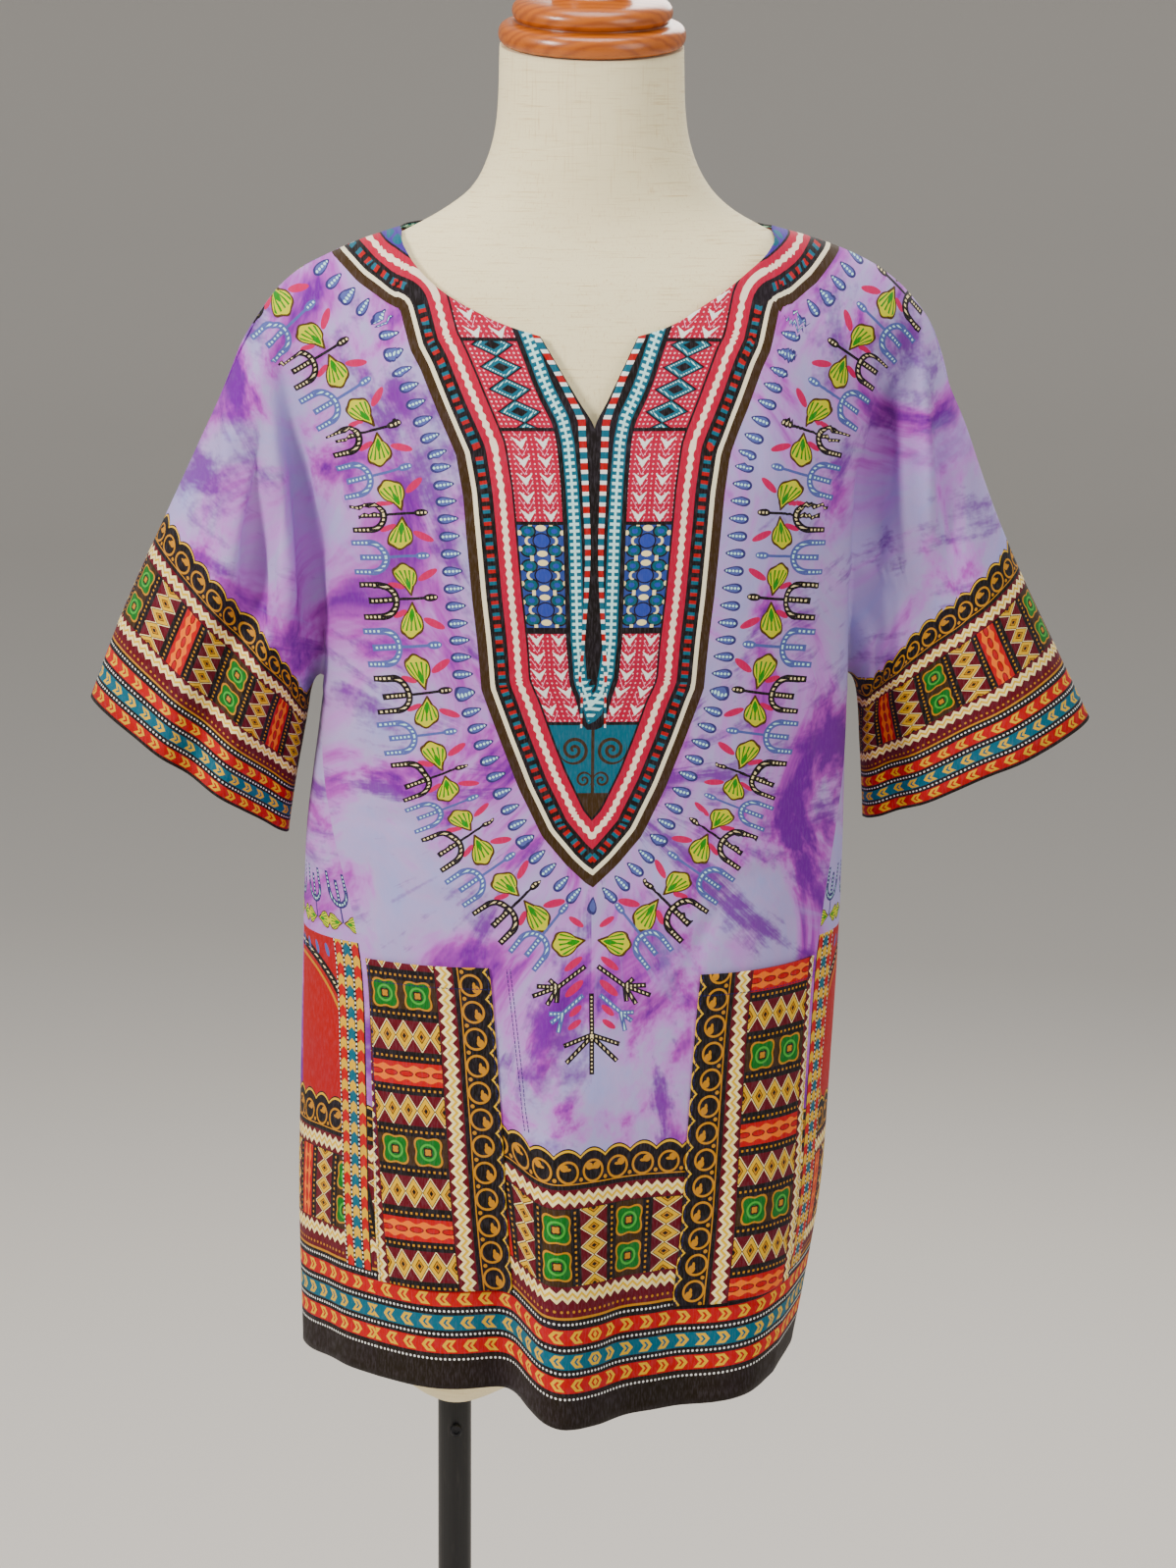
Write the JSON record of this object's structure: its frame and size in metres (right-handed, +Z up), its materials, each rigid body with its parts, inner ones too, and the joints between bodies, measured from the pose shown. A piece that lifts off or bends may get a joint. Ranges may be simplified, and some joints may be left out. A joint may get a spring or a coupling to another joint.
{
  "type": "dashiki shirt on dress form",
  "caption": "Short-sleeved printed cotton dashiki with slit round neck, bordered cuffs and hem and two patch pockets, on a limbless linen dress form with wooden cap, pole and round base",
  "frame": {"origin": "on the floor under the middle of the width and depth of the whole part, at the underside of the base", "axes": "+Z up along the pole and the body, the front of the shirt faces -Y, +X to the viewer's right"},
  "size_m": [0.6631, 0.36, 1.5271],
  "materials": {
    "printed_cotton": "plain-weave printed cotton, tie-dyed violet field with bordered yoke, cuffs and hem, matt with light press creases",
    "border_cotton": "plain-weave cotton in the border print, matt",
    "linen": "natural linen cover with slubs, matt",
    "honey_wood": "turned wood, honey stain, satin varnish",
    "black_steel": "black paint, satin",
    "dark_screw": "dark plated steel"
  },
  "bodies": {
    "root": {"shirt_front": "printed_cotton", "shirt_back": "printed_cotton", "pocket_left": "border_cotton", "pocket_right": "border_cotton", "dress_form": "linen", "neck_cap": "honey_wood", "pole": "black_steel", "base_plate": "black_steel", "set_screw": "dark_screw"}
  },
  "joints": []
}
